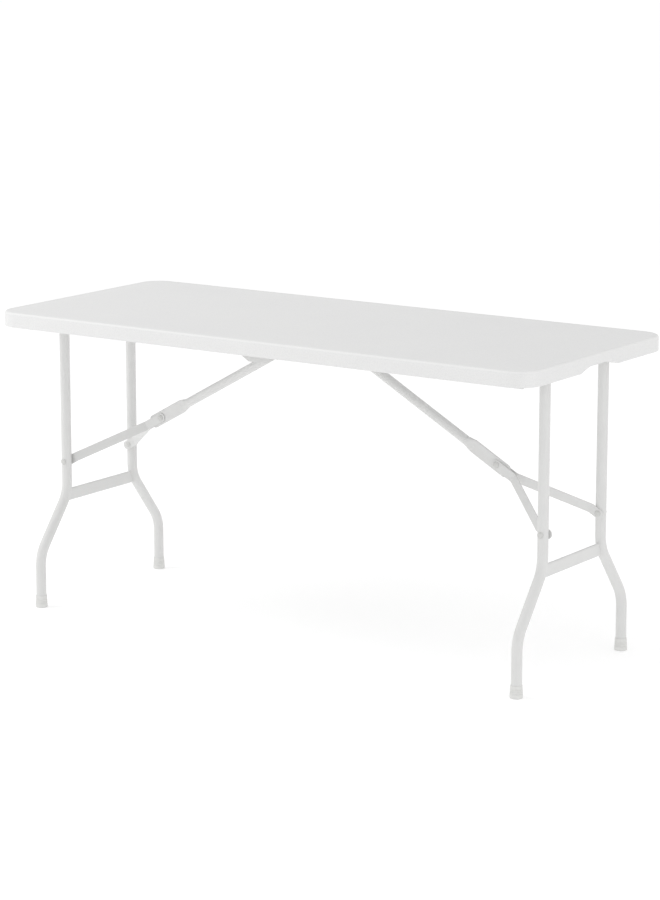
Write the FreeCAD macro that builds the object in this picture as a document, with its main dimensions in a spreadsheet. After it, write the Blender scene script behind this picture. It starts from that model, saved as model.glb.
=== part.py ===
"""Folding utility table with a moulded plastic top and two folding tube leg frames.

Frame: +X along the length of the top, +Y across it, +Z up. The origin is on the floor, under the
middle of the top. Millimetres. The table stands open. Each leg frame hangs on a pivot tube between
the two side rails, and a Y brace (crossbar, link tube and two flat arms) holds it upright.
"""
import FreeCAD, Part
import math
import os
import Sketcher

V = FreeCAD.Vector
doc = FreeCAD.newDocument("folding_table")

SIZES = [
    # top
    ("table_length", 1500), ("table_width", 630), ("table_height", 750),
    ("edge_depth", 37), ("panel_thickness", 22), ("skirt_width", 30), ("shell_wall", 3),
    ("corner_radius", 57), ("top_round", 6), ("bottom_round", 2),
    ("notch_width", 168), ("notch_top_width", 84), ("notch_height", 12),
    # side rails and their screws
    ("rail_gap", 516), ("rail_thickness", 2), ("rail_height", 26), ("rail_flange", 22), ("rail_corner", 5),
    ("rail_end_gap", 12), ("screw_count", 5), ("screw_end_inset", 140),
    ("screw_diameter", 4), ("screw_length", 12), ("screw_head_diameter", 9),
    ("screw_head_height", 2.4), ("boss_diameter", 16), ("pilot_clearance", 0.05),
    # leg frames
    ("pivot_inset", 64), ("pivot_clearance", 0.5), ("tube_diameter", 25), ("tube_wall", 1.5),
    ("leg_top_offset", 131), ("leg_foot_offset", 238),
    ("bend_top_height", 270.5), ("bend_low_height", 133.5), ("bend_radius", 86),
    ("knee_height", 266), ("knee_width", 31), ("knee_thickness", 7), ("knee_wall", 1.5),
    ("foot_height", 30), ("foot_top_wall", 1.25), ("foot_base_wall", 2.5),
    ("foot_floor", 6), ("plug_flange", 3), ("plug_spigot", 16), ("plug_reach", 15),
    # brace
    ("crossbar_offset", 35), ("crossbar_clearance", 2), ("crossbar_diameter", 22),
    ("crossbar_spigot", 10), ("link_diameter", 22), ("link_length", 516.8),
    ("flat_width", 33), ("flat_thickness", 5), ("flat_above", 73), ("flat_below", 35),
    ("flat_taper", 22), ("arm_width", 22), ("arm_thickness", 3), ("arm_above", 12),
    ("arm_parallel", 52), ("arm_tab", 22), ("arm_beyond", 15), ("arm_bend_radius", 9),
    ("brace_rivet_height", 352), ("rivet_diameter", 8), ("rivet_head_diameter", 15),
    ("rivet_head_height", 3),
    # plates that carry the crossbars on the rails
    ("plate_top_width", 112), ("plate_foot_width", 52), ("plate_drop", 12), ("plate_thickness", 3),
    ("plate_rivet_diameter", 4), ("plate_rivet_head", 7), ("plate_rivet_spread", 22),
    # clearances
    ("fit_gap", 0.05), ("weld_gap", 0.1), ("slide_gap", 0.3), ("end_gap", 0.5),
]

sheet = doc.addObject("Spreadsheet::Sheet", "Dims")
for row, (alias, value) in enumerate(SIZES, start=1):
    sheet.set("A%d" % row, alias)
    sheet.set("B%d" % row, str(value))
    sheet.setAlias("B%d" % row, alias)
doc.recompute()


def size(alias):
    """The value of one named size on the sheet."""
    return float(sheet.get(alias))


def bind(thing, **expressions):
    """Tie properties to the sheet. A double underscore in a name stands for a dot."""
    for name, text in expressions.items():
        thing.setExpression(name.replace("__", "."), text)
    return thing


# ---------------------------------------------------------------------------------------------
# lengths that several pieces share
HALF_LENGTH = size("table_length") / 2
HALF_WIDTH = size("table_width") / 2
SKIRT_BOTTOM = size("table_height") - size("edge_depth")
CEILING = size("table_height") - size("panel_thickness")
RAIL_INNER = size("rail_gap") / 2
RAIL_OUTER = RAIL_INNER + size("rail_thickness")
LEG_X = HALF_LENGTH - size("pivot_inset")
TUBE_RADIUS = size("tube_diameter") / 2
CROSSBAR_RADIUS = size("crossbar_diameter") / 2
PIVOT_Z = CEILING - size("pivot_clearance") - TUBE_RADIUS
CROSSBAR_Z = CEILING - size("crossbar_clearance") - CROSSBAR_RADIUS
TUBE_INNER = TUBE_RADIUS - size("tube_wall")
LINK_RADIUS = size("link_diameter") / 2
CROSSBAR_INNER = CROSSBAR_RADIUS - size("tube_wall")
ARM_FACE = size("leg_top_offset") - TUBE_RADIUS - size("slide_gap")
RAIL_LENGTH = 2 * (HALF_LENGTH - size("skirt_width") - size("rail_end_gap"))

# the brace runs straight from the crossbar to the rivet in the leg when the table is open
BRACE_RUN = LEG_X - size("crossbar_offset")
BRACE_FALL = CROSSBAR_Z - size("brace_rivet_height")
BRACE_LENGTH = math.hypot(BRACE_RUN, BRACE_FALL)
BRACE_ANGLE = math.degrees(math.atan2(BRACE_FALL, BRACE_RUN))
ARM_LENGTH = BRACE_LENGTH - size("link_length")

SIDES = {"left": -1, "right": 1}
ROWS = {"front": -1, "back": 1}


def screw_places():
    """X of each screw along a rail, evenly spaced and clear of the middle plate."""
    count = int(size("screw_count"))
    reach = RAIL_LENGTH / 2 - size("screw_end_inset")
    return [-reach + 2 * reach * i / (count - 1) for i in range(count)]


# ---------------------------------------------------------------------------------------------
# helpers for the document's objects
def plane(body, role):
    """One origin plane of a body."""
    for feature in body.Origin.OriginFeatures:
        if feature.Role == role:
            return feature
    raise ValueError(role)


def polygon_sketch(body, role, name, corners, lift=None):
    """A closed sketch whose corner coordinates are all bound to the sheet."""
    sketch = body.newObject("Sketcher::SketchObject", name)
    sketch.AttachmentSupport = [(plane(body, role), "")]
    sketch.MapMode = "FlatFace"
    if lift:
        sketch.setExpression("AttachmentOffset.Base.z", lift)
    count = len(corners)
    turn = [-3 * math.pi / 4 + 2 * math.pi * i / count for i in range(count)]
    start = [V(100 * math.cos(a), 100 * math.sin(a), 0) for a in turn]
    for i in range(count):
        sketch.addGeometry(Part.LineSegment(start[i], start[(i + 1) % count]), False)
    for i in range(count):
        sketch.addConstraint(Sketcher.Constraint("Coincident", i, 2, (i + 1) % count, 1))
    for i, (across, up) in enumerate(corners):
        for kind, value, text in (("DistanceX", start[i].x, across), ("DistanceY", start[i].y, up)):
            index = sketch.addConstraint(Sketcher.Constraint(kind, -1, 1, i, 1, value))
            label = "%s%d" % (kind[-1].lower(), i)
            sketch.renameConstraint(index, label)
            sketch.setExpression("Constraints." + label, text)
    return sketch


def rectangle_sketch(body, role, name, wide, deep, lift=None):
    """A rectangle about the origin."""
    corners = [
        ("-(%s) / 2" % wide, "-(%s) / 2" % deep), ("(%s) / 2" % wide, "-(%s) / 2" % deep),
        ("(%s) / 2" % wide, "(%s) / 2" % deep), ("-(%s) / 2" % wide, "(%s) / 2" % deep),
    ]
    return polygon_sketch(body, role, name, corners, lift)


def edge_names(shape, wanted):
    """Names of the edges for which wanted(edge) is true."""
    return ["Edge%d" % (i + 1) for i, edge in enumerate(shape.Edges) if wanted(edge)]


def is_vertical(edge):
    ends = edge.Vertexes
    if len(ends) < 2:
        return False
    step = ends[1].Point - ends[0].Point
    return abs(step.x) < 1e-6 and abs(step.y) < 1e-6 and abs(step.z) > 1e-6


def lies_at(edge, height):
    box = edge.BoundBox
    return abs(box.ZMin - height) < 1e-6 and abs(box.ZMax - height) < 1e-6


def round_edges(body, name, radius, wanted):
    """A PartDesign fillet on the chosen edges of the body's last feature."""
    doc.recompute()
    base = body.Tip
    fillet = body.newObject("PartDesign::Fillet", name)
    fillet.Base = (base, edge_names(base.Shape, wanted))
    fillet.setExpression("Radius", radius)
    doc.recompute()
    return fillet


def placed(shape, side=1, row=1, x=0.0, y=0.0, z=0.0):
    """Placement of a piece that is drawn for the right side, front row, at the given point."""
    turn = 0 if side * row > 0 else 180
    return FreeCAD.Placement(V(x, y, z), FreeCAD.Rotation(V(0, 0, 1), turn))


PIECES = []


def keep(thing, node):
    """Name a finished sub-part and put it on the list of files."""
    thing.Label = node
    PIECES.append(thing)
    return thing


def shape_piece(node, shape, placement=None):
    """A sub-part whose shape is made directly, with its Placement set after the shape."""
    thing = doc.addObject("Part::Feature", node)
    thing.Shape = shape
    if placement is not None:
        thing.Placement = placement
    return keep(thing, node)


def rounded_path(points, radii):
    """Straight runs joined by tangent arcs, as a list of edges."""
    edges = []
    last = points[0]
    for before, corner, after, radius in zip(points, points[1:], points[2:], radii):
        into = (corner - before).normalize()
        out = (after - corner).normalize()
        half_turn = into.getAngle(out) / 2
        cut = radius * math.tan(half_turn)
        first = corner - into * cut
        final = corner + out * cut
        middle_line = (out - into).normalize()
        middle = corner + middle_line * (radius / math.cos(half_turn) - radius)
        edges.append(Part.LineSegment(last, first).toShape())
        edges.append(Part.Arc(first, middle, final).toShape())
        last = final
    edges.append(Part.LineSegment(last, points[-1]).toShape())
    return edges


def swept(edges, radius):
    """A round bar along a path."""
    start = edges[0].Vertexes[0].Point
    along = edges[0].tangentAt(edges[0].FirstParameter)
    circle = Part.Wire([Part.Circle(start, along, radius).toShape()])
    return Part.Wire(edges).makePipeShell([circle], True, True)


def cylinder(radius, start, end):
    """A round bar between two points."""
    along = end - start
    return Part.makeCylinder(radius, along.Length, start, along)


def rivet(diameter, head, head_height, start, end, heads=2):
    """A rivet through the points' span, with a low domed head outside each end."""
    along = (end - start).normalize()
    body = cylinder(diameter / 2, start, end)
    caps = [domed_head(head, head_height, end, along)]
    if heads == 2:
        caps.append(domed_head(head, head_height, start, along * -1))
    return body.multiFuse(caps).removeSplitter()


def domed_head(diameter, height, seat, outward):
    """A low dome with a short straight rim, standing on its seat."""
    radius = diameter / 2
    rim = height * 0.3
    flat = radius * 0.2
    arc_middle = V(radius * 0.74, 0, rim + (height - rim) * 0.62)
    profile = Part.Wire([
        Part.LineSegment(V(0, 0, 0), V(radius, 0, 0)).toShape(),
        Part.LineSegment(V(radius, 0, 0), V(radius, 0, rim)).toShape(),
        Part.Arc(V(radius, 0, rim), arc_middle, V(flat, 0, height)).toShape(),
        Part.LineSegment(V(flat, 0, height), V(0, 0, height)).toShape(),
        Part.LineSegment(V(0, 0, height), V(0, 0, 0)).toShape(),
    ])
    dome = Part.Face(profile).revolve(V(0, 0, 0), V(0, 0, 1), 360)
    dome.Placement = FreeCAD.Placement(seat, FreeCAD.Rotation(V(0, 0, 1), outward))
    return dome


# ---------------------------------------------------------------------------------------------
# top
def cavity():
    """The air space inside the moulded top, a wall thickness in from every face."""
    wall = size("shell_wall")
    length = size("table_length") - 2 * wall
    width = size("table_width") - 2 * wall
    depth = size("edge_depth") - 2 * wall
    slab = Part.makeBox(length, width, depth, V(-length / 2, -width / 2, wall))
    slab = slab.makeFillet(size("corner_radius") - wall, [e for e in slab.Edges if is_vertical(e)])
    crown = max(size("top_round") - wall, 0.5)
    top = size("edge_depth") - wall
    slab = slab.makeFillet(crown, [e for e in slab.Edges if lies_at(e, top)])
    inset = size("skirt_width") - wall
    recess_length = size("table_length") - 2 * inset
    recess_width = size("table_width") - 2 * inset
    roof = size("edge_depth") - size("panel_thickness") + wall
    recess = Part.makeBox(recess_length, recess_width, roof, V(-recess_length / 2, -recess_width / 2, 0))
    notch_wide = size("notch_width") + 2 * wall
    notch_roof = size("notch_height") + wall
    notch = Part.makeBox(size("table_length"), notch_wide, notch_roof, V(-HALF_LENGTH, -notch_wide / 2, 0))
    tools = [recess, notch]
    for row in ROWS.values():
        for x in screw_places():
            y = row * (RAIL_OUTER + size("rail_flange") / 2)
            tools.append(Part.makeCylinder(size("boss_diameter") / 2, size("edge_depth"), V(x, y, 0)))
    return slab.cut(tools)


def pilot_holes():
    """Blind holes that the rail screws bite into."""
    radius = size("screw_diameter") / 2 + size("pilot_clearance")
    depth = size("screw_length") - size("rail_thickness") + 1
    roof = size("edge_depth") - size("panel_thickness")
    holes = []
    for row in ROWS.values():
        for x in screw_places():
            y = row * (RAIL_OUTER + size("rail_flange") / 2)
            holes.append(Part.makeCylinder(radius, depth + 1, V(x, y, roof - 1)))
    return Part.makeCompound(holes)


def build_tabletop():
    body = doc.addObject("PartDesign::Body", "TopBody")
    outline = rectangle_sketch(body, "XY_Plane", "TopOutline", "Dims.table_length", "Dims.table_width")
    slab = body.newObject("PartDesign::Pad", "TopSlab")
    slab.Profile = outline
    slab.setExpression("Length", "Dims.edge_depth")
    round_edges(body, "TopCorners", "Dims.corner_radius", is_vertical)
    round_edges(body, "TopRound", "Dims.top_round", lambda e: lies_at(e, size("edge_depth")))
    recess = rectangle_sketch(
        body, "XY_Plane", "RecessOutline",
        "Dims.table_length - 2 * Dims.skirt_width", "Dims.table_width - 2 * Dims.skirt_width")
    pocket = body.newObject("PartDesign::Pocket", "Recess")
    pocket.Profile = recess
    pocket.Reversed = True
    pocket.setExpression("Length", "Dims.edge_depth - Dims.panel_thickness")
    inner = HALF_LENGTH - size("skirt_width")
    round_edges(
        body, "RecessCorners", "Dims.corner_radius - Dims.skirt_width",
        lambda e: is_vertical(e) and abs(abs(e.BoundBox.XMin) - inner) < 1e-3)
    notch = polygon_sketch(body, "YZ_Plane", "NotchOutline", [
        ("-Dims.notch_width / 2", "-1"), ("Dims.notch_width / 2", "-1"),
        ("Dims.notch_width / 2", "0"), ("Dims.notch_top_width / 2", "Dims.notch_height"),
        ("-Dims.notch_top_width / 2", "Dims.notch_height"), ("-Dims.notch_width / 2", "0")])
    gap = body.newObject("PartDesign::Pocket", "EndNotches")
    gap.Profile = notch
    gap.Midplane = True
    gap.setExpression("Length", "Dims.table_length + 20")
    doc.recompute()
    hollow = doc.addObject("Part::Feature", "TopCavity")
    hollow.Shape = Part.makeCompound([cavity(), pilot_holes()])
    top = doc.addObject("Part::Cut", "Top")
    top.Base = body
    top.Tool = hollow
    top.setExpression("Placement.Base.z", "Dims.table_height - Dims.edge_depth")
    keep(top, "tabletop")


# ---------------------------------------------------------------------------------------------
# rails, plates and fasteners on the top
def rail_holes():
    """The holes in a rail or plate, as bars across it: leg pivots and crossbar pivots."""
    bars = []
    reach = size("rail_gap")
    for side in SIDES.values():
        leg = size("plug_spigot") / 2 + size("fit_gap")
        cross = size("crossbar_spigot") / 2 + size("fit_gap")
        for radius, x, z in ((leg, side * LEG_X, PIVOT_Z), (cross, side * size("crossbar_offset"), CROSSBAR_Z)):
            bars.append(cylinder(radius, V(x, -reach, z), V(x, reach, z)))
    return bars


def plate_rivet_spots():
    """X and Z of the rivets that hold a middle plate."""
    low = CEILING - size("rail_height") + size("plate_rivet_head")
    return [(-size("plate_rivet_spread") / 2, low), (size("plate_rivet_spread") / 2, low)]


def plate_rivet_bars():
    reach = size("rail_gap")
    radius = size("plate_rivet_diameter") / 2 + size("fit_gap")
    return [cylinder(radius, V(x, -reach, z), V(x, reach, z)) for x, z in plate_rivet_spots()]


def recess_room():
    """The space inside the skirt, a sliding gap in from it, with the recess's own corners."""
    inset = size("skirt_width") + size("slide_gap")
    length = size("table_length") - 2 * inset
    width = size("table_width") - 2 * inset
    room = Part.makeBox(length, width, 100, V(-length / 2, -width / 2, CEILING - 100))
    radius = size("corner_radius") - inset
    return room.makeFillet(radius, [edge for edge in room.Edges if is_vertical(edge)])


def build_rail(row_name, row):
    length = RAIL_LENGTH
    thick = size("rail_thickness")
    drop = size("rail_height")
    web = Part.makeBox(length, thick, drop, V(-length / 2, RAIL_INNER, CEILING - drop))
    flange = Part.makeBox(
        length, size("rail_flange") + thick, thick, V(-length / 2, RAIL_INNER, CEILING - thick))
    rail = web.fuse(flange).removeSplitter()
    low = CEILING - drop
    corners = [e for e in rail.Edges if e.BoundBox.ZMax < low + 1e-6 and e.BoundBox.XLength < 1e-6]
    rail = rail.makeFillet(size("rail_corner"), corners)
    screws = []
    for x in screw_places():
        y = RAIL_OUTER + size("rail_flange") / 2
        radius = size("screw_diameter") / 2 + size("fit_gap")
        screws.append(Part.makeCylinder(radius, 4 * thick, V(x, y, CEILING - 2 * thick)))
    rail = rail.common(recess_room()).cut(rail_holes() + plate_rivet_bars() + screws)
    shape_piece(row_name + "_rail", rail, placed(rail, 1, row))


def build_plate(row_name, row):
    """The plate on the middle of a rail that both crossbars turn in."""
    top = CEILING - size("rail_thickness") - size("slide_gap")
    low = CEILING - size("rail_height") - size("plate_drop")
    wide = size("plate_top_width") / 2
    narrow = size("plate_foot_width") / 2
    shoulder = CEILING - size("rail_height") + 6
    outline = [V(-wide, RAIL_OUTER, top), V(-wide, RAIL_OUTER, shoulder), V(-narrow, RAIL_OUTER, low),
               V(narrow, RAIL_OUTER, low), V(wide, RAIL_OUTER, shoulder), V(wide, RAIL_OUTER, top)]
    face = Part.Face(Part.makePolygon(outline + outline[:1]))
    plate = face.extrude(V(0, size("plate_thickness"), 0))
    corners = [e for e in plate.Edges if e.BoundBox.YLength > size("plate_thickness") * 0.9]
    plate = plate.makeFillet(3, corners)
    plate = plate.cut(rail_holes() + plate_rivet_bars())
    shape_piece(row_name + "_pivot_plate", plate, placed(plate, 1, row))


def build_plate_rivets():
    start = RAIL_INNER
    end = RAIL_OUTER + size("plate_thickness")
    rivets = []
    for row in ROWS.values():
        for x, z in plate_rivet_spots():
            rivets.append(rivet(size("plate_rivet_diameter"), size("plate_rivet_head"), 1.6,
                                V(x, row * start, z), V(x, row * end, z)))
    shape_piece("plate_rivets", Part.makeCompound(rivets))


def build_rail_screws():
    """Pan head screws up through the rail flanges."""
    screws = []
    under = CEILING - size("rail_thickness")
    for row in ROWS.values():
        for x in screw_places():
            y = row * (RAIL_OUTER + size("rail_flange") / 2)
            shank = Part.makeCylinder(size("screw_diameter") / 2, size("screw_length"), V(x, y, under))
            low = under - size("screw_head_height")
            head = Part.makeCylinder(size("screw_head_diameter") / 2, size("screw_head_height"), V(x, y, low))
            head = head.makeFillet(size("screw_head_height") / 2, [e for e in head.Edges if lies_at(e, low)])
            screws.append(shank.fuse(head).removeSplitter().cut(cross_recess(x, y, low)))
    shape_piece("rail_screws", Part.makeCompound(screws))


def cross_recess(x, y, low):
    """The cross slot in a screw head."""
    depth = size("screw_head_height") * 0.6
    long = size("screw_head_diameter") * 0.45
    bar = Part.makeBox(long, 1, depth + 1, V(x - long / 2, y - 0.5, low - 1))
    other = Part.makeBox(1, long, depth + 1, V(x - 0.5, y - long / 2, low - 1))
    return bar.fuse(other)


# ---------------------------------------------------------------------------------------------
# leg frames
def pivot_length():
    return 2 * (RAIL_INNER - size("end_gap") - size("plug_flange"))


def hollow_bar(name, outer, inner, long, along_y):
    """A plain tube as a cylinder less a cylinder, along Y about the given height."""
    outside = doc.addObject("Part::Cylinder", name + "Outside")
    inside = doc.addObject("Part::Cylinder", name + "Bore")
    for part, radius in ((outside, outer), (inside, inner)):
        part.setExpression("Radius", radius)
        part.setExpression("Height", long)
        part.Placement = FreeCAD.Placement(V(0, along_y, 0), FreeCAD.Rotation(V(1, 0, 0), 90))
    tube = doc.addObject("Part::Cut", name)
    tube.Base = outside
    tube.Tool = inside
    return tube


def build_pivot_tube(side_name, side):
    long = "Dims.rail_gap - 2 * Dims.end_gap - 2 * Dims.plug_flange"
    tube = hollow_bar(side_name + "PivotTube", "Dims.tube_diameter / 2",
                      "Dims.tube_diameter / 2 - Dims.tube_wall", long, pivot_length() / 2)
    tube.setExpression("Placement.Base.x", "%d * (Dims.table_length / 2 - Dims.pivot_inset)" % side)
    tube.setExpression(
        "Placement.Base.z", "Dims.table_height - Dims.panel_thickness - Dims.pivot_clearance - Dims.tube_diameter / 2")
    keep(tube, side_name + "_pivot_tube")


def end_plugs(node, x, z, bore, outer, spigot, out):
    """Two nylon plugs: a shank in the tube end, a flange against it and a spigot in the rail."""
    plugs = []
    flange_in = RAIL_INNER - size("end_gap") - size("plug_flange")
    flange_out = RAIL_INNER - size("end_gap")
    for row in ROWS.values():
        shank = cylinder(bore - size("fit_gap"), V(x, row * (flange_in - size("plug_reach")), z), V(x, row * flange_in, z))
        flange = cylinder(outer, V(x, row * flange_in, z), V(x, row * flange_out, z))
        pin = cylinder(spigot / 2, V(x, row * flange_out, z), V(x, row * out, z))
        plugs.append(shank.multiFuse([flange, pin]).removeSplitter())
    shape_piece(node, Part.makeCompound(plugs))


def leg_path():
    """Centre line of the back leg tube in the plane x = 0, from the pivot down to the foot."""
    top = size("leg_top_offset")
    foot = size("leg_foot_offset")
    return [V(0, top, PIVOT_Z), V(0, top, size("bend_top_height")),
            V(0, foot, size("bend_low_height")), V(0, foot, size("foot_floor") + size("weld_gap"))]


def leg_bar(radius):
    """The leg's solid outer or inner bar."""
    return swept(rounded_path(leg_path(), [size("bend_radius")] * 2), radius)


def build_leg(side_name, side, row_name, row):
    tube = leg_bar(TUBE_RADIUS).cut(leg_bar(TUBE_INNER))
    reach = size("rail_gap")
    saddle = cylinder(TUBE_RADIUS + size("weld_gap"), V(0, -reach, PIVOT_Z), V(0, reach, PIVOT_Z))
    z = size("brace_rivet_height")
    bore = cylinder(size("rivet_diameter") / 2 + size("fit_gap"), V(0, 0, z), V(0, reach, z))
    tube = largest(tube.cut([saddle, bore]))
    shape_piece("%s_%s_leg" % (side_name, row_name), tube, placed(tube, 1, row, side * LEG_X))


def largest(shape):
    """The biggest solid of a cut that leaves crumbs."""
    return sorted(shape.Solids, key=lambda solid: solid.Volume)[-1]


def build_knee_bar(side_name, side):
    """A flattened tube between the two legs, shaped to them at its ends."""
    long = size("leg_foot_offset") * 2
    outside = flat_tube(size("knee_thickness"), size("knee_width"), long)
    wall = size("knee_wall")
    inside = flat_tube(size("knee_thickness") - 2 * wall, size("knee_width") - 2 * wall, long)
    bar = outside.cut(inside)
    back = leg_bar(TUBE_RADIUS + size("weld_gap"))
    front = back.copy()
    front.rotate(V(0, 0, 0), V(0, 0, 1), 180)
    bar = bar.cut([back, front])
    middle = [solid for solid in bar.Solids if abs(solid.CenterOfMass.y) < 5][0]
    shape_piece(side_name + "_knee_bar", middle, placed(middle, 1, 1, side * LEG_X))


def flat_tube(thick, wide, long):
    """A bar with round narrow edges along Y, centred on the knee height."""
    radius = thick / 2
    up = wide / 2 - radius
    z = size("knee_height")
    arc_top = Part.Arc(V(-radius, 0, z + up), V(0, 0, z + up + radius), V(radius, 0, z + up))
    arc_low = Part.Arc(V(radius, 0, z - up), V(0, 0, z - up - radius), V(-radius, 0, z - up))
    outline = Part.Wire([
        arc_top.toShape(), Part.LineSegment(V(radius, 0, z + up), V(radius, 0, z - up)).toShape(),
        arc_low.toShape(), Part.LineSegment(V(-radius, 0, z - up), V(-radius, 0, z + up)).toShape()])
    bar = Part.Face(outline).extrude(V(0, long, 0))
    bar.translate(V(0, -long / 2, 0))
    return bar


def build_foot(side_name, side, row_name, row):
    """A plastic cap pushed over the tube end, slightly wider at the floor."""
    body = doc.addObject("PartDesign::Body", "%s%sFootBody" % (side_name, row_name))
    base = "Dims.tube_diameter / 2 + Dims.foot_base_wall"
    top = "Dims.tube_diameter / 2 + Dims.foot_top_wall"
    profile = polygon_sketch(body, "XZ_Plane", "%s%sFootProfile" % (side_name, row_name), [
        ("0", "0"), (base + " - 1.5", "0"), (base, "1.5"), (base, "6"), (top, "Dims.foot_height"),
        ("Dims.tube_diameter / 2 + Dims.fit_gap", "Dims.foot_height"),
        ("Dims.tube_diameter / 2 + Dims.fit_gap", "Dims.foot_floor"), ("0", "Dims.foot_floor")])
    cap = body.newObject("PartDesign::Revolution", "%s%sFootCap" % (side_name, row_name))
    cap.Profile = profile
    cap.ReferenceAxis = (profile, ["V_Axis"])
    cap.Angle = 360
    body.setExpression("Placement.Base.x", "%d * (Dims.table_length / 2 - Dims.pivot_inset)" % side)
    body.setExpression("Placement.Base.y", "%d * Dims.leg_foot_offset" % row)
    keep(body, "%s_%s_foot" % (side_name, row_name))


def build_leg_rivets(side_name, side):
    """The rivets through the legs, headed on the outer face and flush on the arm's face."""
    rivets = []
    x = side * LEG_X
    z = size("brace_rivet_height")
    for row in ROWS.values():
        start = V(x, row * (size("leg_top_offset") - TUBE_RADIUS + 0.2), z)
        end = V(x, row * (size("leg_top_offset") + TUBE_RADIUS), z)
        rivets.append(rivet(size("rivet_diameter"), size("rivet_head_diameter"),
                            size("rivet_head_height"), start, end, heads=1))
    shape_piece(side_name + "_leg_rivets", Part.makeCompound(rivets))


# ---------------------------------------------------------------------------------------------
# brace, drawn along +X from the crossbar's axis and then swung down and put in place
def brace_placement(side):
    """Drawn along +X, the brace is swung down for the right side and turned round for the left."""
    down = FreeCAD.Rotation(V(0, 1, 0), BRACE_ANGLE)
    turn = FreeCAD.Rotation(V(0, 0, 1), 0 if side > 0 else 180)
    return FreeCAD.Placement(V(side * size("crossbar_offset"), 0, CROSSBAR_Z), turn.multiply(down))


def build_crossbar(side_name, side):
    long = "Dims.rail_gap - 2 * Dims.end_gap - 2 * Dims.plug_flange"
    tube = hollow_bar(side_name + "Crossbar", "Dims.crossbar_diameter / 2",
                      "Dims.crossbar_diameter / 2 - Dims.tube_wall", long, pivot_length() / 2)
    tube.setExpression("Placement.Base.x", "%d * Dims.crossbar_offset" % side)
    tube.setExpression(
        "Placement.Base.z",
        "Dims.table_height - Dims.panel_thickness - Dims.crossbar_clearance - Dims.crossbar_diameter / 2")
    keep(tube, side_name + "_crossbar")


def round_section(s, radius):
    """A circle across the link in four arcs that start where the flat end's corners do."""
    half = radius * math.cos(math.radians(45))
    points = [(-half, half), (half, half), (half, -half), (-half, -half)]
    middles = [(0, radius), (radius, 0), (0, -radius), (-radius, 0)]
    edges = []
    for i in range(4):
        first = V(s, points[i][0], points[i][1])
        final = V(s, points[(i + 1) % 4][0], points[(i + 1) % 4][1])
        edges.append(Part.Arc(first, V(s, *middles[i]), final).toShape())
    return Part.Wire(edges)


def flat_section(s, thick, wide):
    """The flattened tube's section: thin across Y, wide across the link, with round edges."""
    y = thick / 2
    up = wide / 2 - y
    top = Part.Arc(V(s, -y, up), V(s, 0, up + y), V(s, y, up)).toShape()
    back = Part.LineSegment(V(s, y, up), V(s, y, -up)).toShape()
    low = Part.Arc(V(s, y, -up), V(s, 0, -up - y), V(s, -y, -up)).toShape()
    front = Part.LineSegment(V(s, -y, -up), V(s, -y, up)).toShape()
    return Part.Wire([top, back, low, front])


def build_link(side_name, side):
    """The link tube: round from the crossbar, pressed flat where the arms clasp it."""
    hinge = size("link_length")
    flat_start = hinge - size("flat_above")
    round_end = flat_start - size("flat_taper")
    flat_end = hinge + size("flat_below")
    bar = cylinder(LINK_RADIUS, V(0, 0, 0), V(round_end, 0, 0))
    taper = Part.makeLoft([round_section(round_end, LINK_RADIUS),
                           flat_section(flat_start, size("flat_thickness"), size("flat_width"))], True, True)
    blade = Part.Face(flat_section(flat_start, size("flat_thickness"), size("flat_width")))
    blade = blade.extrude(V(flat_end - flat_start, 0, 0))
    blade = round_blade_end(blade, flat_end)
    bore = cylinder(LINK_RADIUS - size("tube_wall"), V(0, 0, 0), V(round_end - 4, 0, 0))
    reach = size("rail_gap")
    saddle = cylinder(CROSSBAR_RADIUS + size("weld_gap"), V(0, -reach, 0), V(0, reach, 0))
    pin = cylinder(size("rivet_diameter") / 2 + size("fit_gap"), V(hinge, -reach, 0), V(hinge, reach, 0))
    link = bar.multiFuse([taper, blade]).cut([bore, saddle, pin])
    shape_piece(side_name + "_brace_link", largest(link), brace_placement(side))


def round_blade_end(blade, flat_end):
    """Round the two corners of the flat end, seen from the side."""
    half = size("flat_width") / 2
    radius = 12
    mask = Part.makeBox(400, 60, 2 * half, V(flat_end - 400, -30, -half))
    corners = [e for e in mask.Edges if abs(e.BoundBox.XMin - flat_end) < 1e-6 and e.BoundBox.YLength > 50]
    return blade.common(mask.makeFillet(radius, corners))


def arm_points():
    """Centre line of the back arm in the brace's own plane: along, out and along again."""
    inner = size("flat_thickness") / 2 + size("slide_gap") + size("arm_thickness") / 2
    outer = ARM_FACE - size("arm_thickness") / 2
    hinge = size("link_length")
    end = hinge + ARM_LENGTH
    return [V(hinge - size("arm_above"), inner, 0), V(hinge + size("arm_parallel"), inner, 0),
            V(end - size("arm_tab"), outer, 0), V(end + size("arm_beyond"), outer, 0)]


def offset_points(points, shift):
    """The same polyline moved sideways in its plane."""
    normals = []
    for a, b in zip(points, points[1:]):
        run = (b - a).normalize()
        normals.append(V(-run.y, run.x, 0))
    moved = [points[0] + normals[0] * shift]
    for i in range(1, len(points) - 1):
        mean = (normals[i - 1] + normals[i]).normalize()
        moved.append(points[i] + mean * (shift / mean.dot(normals[i])))
    moved.append(points[-1] + normals[-1] * shift)
    return moved


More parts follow.
